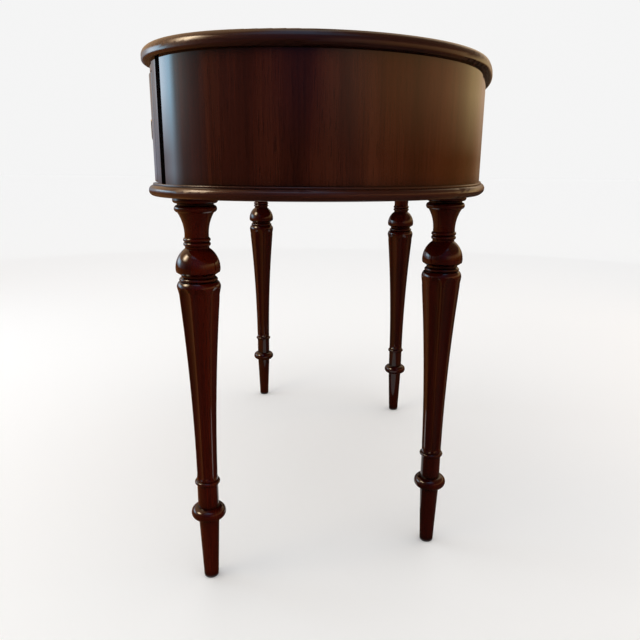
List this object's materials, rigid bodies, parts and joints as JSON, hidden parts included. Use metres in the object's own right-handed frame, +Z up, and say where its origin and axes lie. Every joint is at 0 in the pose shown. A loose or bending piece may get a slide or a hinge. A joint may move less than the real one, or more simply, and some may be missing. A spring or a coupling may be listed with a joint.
{
  "type": "kidney-shaped desk",
  "caption": "Kidney-shaped writing desk: curved drawers round a hollow front, bowed back, moulded top and base, drop pulls and turned, fluted legs.",
  "frame": {"origin": "centre of the desk's plan at the floor", "axes": "+X along the desk's length, -Y towards the sitter and the drawer fronts, +Y the bowed back, +Z up"},
  "size_m": [1.095, 0.5129, 0.7632],
  "materials": {
    "mahogany": "dark French polish, glossy",
    "drawer_wood": "planed, waxed",
    "aged_brass": "darkened with age",
    "steel": "plain"
  },
  "bodies": {
    "case": {"back_left_leg": "mahogany", "back_panel": "mahogany", "back_right_leg": "mahogany", "base_board": "mahogany", "drawer_guides": "drawer_wood", "drawer_kickers": "drawer_wood", "drawer_stops": "drawer_wood", "front_left_leg": "mahogany", "front_right_leg": "mahogany", "front_top_rail": "mahogany", "left_corner_stile": "mahogany", "left_divider_stile": "mahogany", "left_end_panel": "mahogany", "left_partition": "drawer_wood", "right_corner_stile": "mahogany", "right_divider_stile": "mahogany", "right_end_panel": "mahogany", "right_partition": "drawer_wood", "top_board": "mahogany", "top_glue_blocks": "drawer_wood", "top_screws": "steel"},
    "right_drawer": {"right_drawer_back": "drawer_wood", "right_drawer_bottom": "drawer_wood", "right_drawer_front": "mahogany", "right_drawer_left_side": "drawer_wood", "right_drawer_right_side": "drawer_wood", "right_pull_nuts": "steel", "right_pull_posts": "aged_brass", "right_pull_rosettes": "aged_brass"},
    "centre_drawer": {"centre_drawer_back": "drawer_wood", "centre_drawer_bottom": "drawer_wood", "centre_drawer_front": "mahogany", "centre_drawer_left_side": "drawer_wood", "centre_drawer_right_side": "drawer_wood", "centre_pull_nuts": "steel", "centre_pull_posts": "aged_brass", "centre_pull_rosettes": "aged_brass"},
    "left_drawer": {"left_drawer_back": "drawer_wood", "left_drawer_bottom": "drawer_wood", "left_drawer_front": "mahogany", "left_drawer_left_side": "drawer_wood", "left_drawer_right_side": "drawer_wood", "left_pull_nuts": "steel", "left_pull_posts": "aged_brass", "left_pull_rosettes": "aged_brass"},
    "right_bail": {"right_pull_bail": "aged_brass"},
    "centre_bail": {"centre_pull_bail": "aged_brass"},
    "left_bail": {"left_pull_bail": "aged_brass"}
  },
  "joints": [
    {"name": "right_drawer_slide", "type": "slide", "parent": "case", "child": "right_drawer", "axis": [0, -1, 0], "range_m": [0, 0.22]},
    {"name": "centre_drawer_slide", "type": "slide", "parent": "case", "child": "centre_drawer", "axis": [0, -1, 0], "range_m": [0, 0.2]},
    {"name": "left_drawer_slide", "type": "slide", "parent": "case", "child": "left_drawer", "axis": [0, -1, 0], "range_m": [0, 0.22]},
    {"name": "right_bail_hinge", "type": "hinge", "parent": "right_drawer", "child": "right_bail", "pos_m": [0.33339, -0.24622, 0.68], "axis": [-0.9673, 0.2538, 0], "range_deg": [0, 85]},
    {"name": "centre_bail_hinge", "type": "hinge", "parent": "centre_drawer", "child": "centre_bail", "pos_m": [0, -0.15712, 0.68], "axis": [-1, 0, 0], "range_deg": [0, 85]},
    {"name": "left_bail_hinge", "type": "hinge", "parent": "left_drawer", "child": "left_bail", "pos_m": [-0.33339, -0.24622, 0.68], "axis": [-0.9673, -0.2538, 0], "range_deg": [0, 85]}
  ]
}
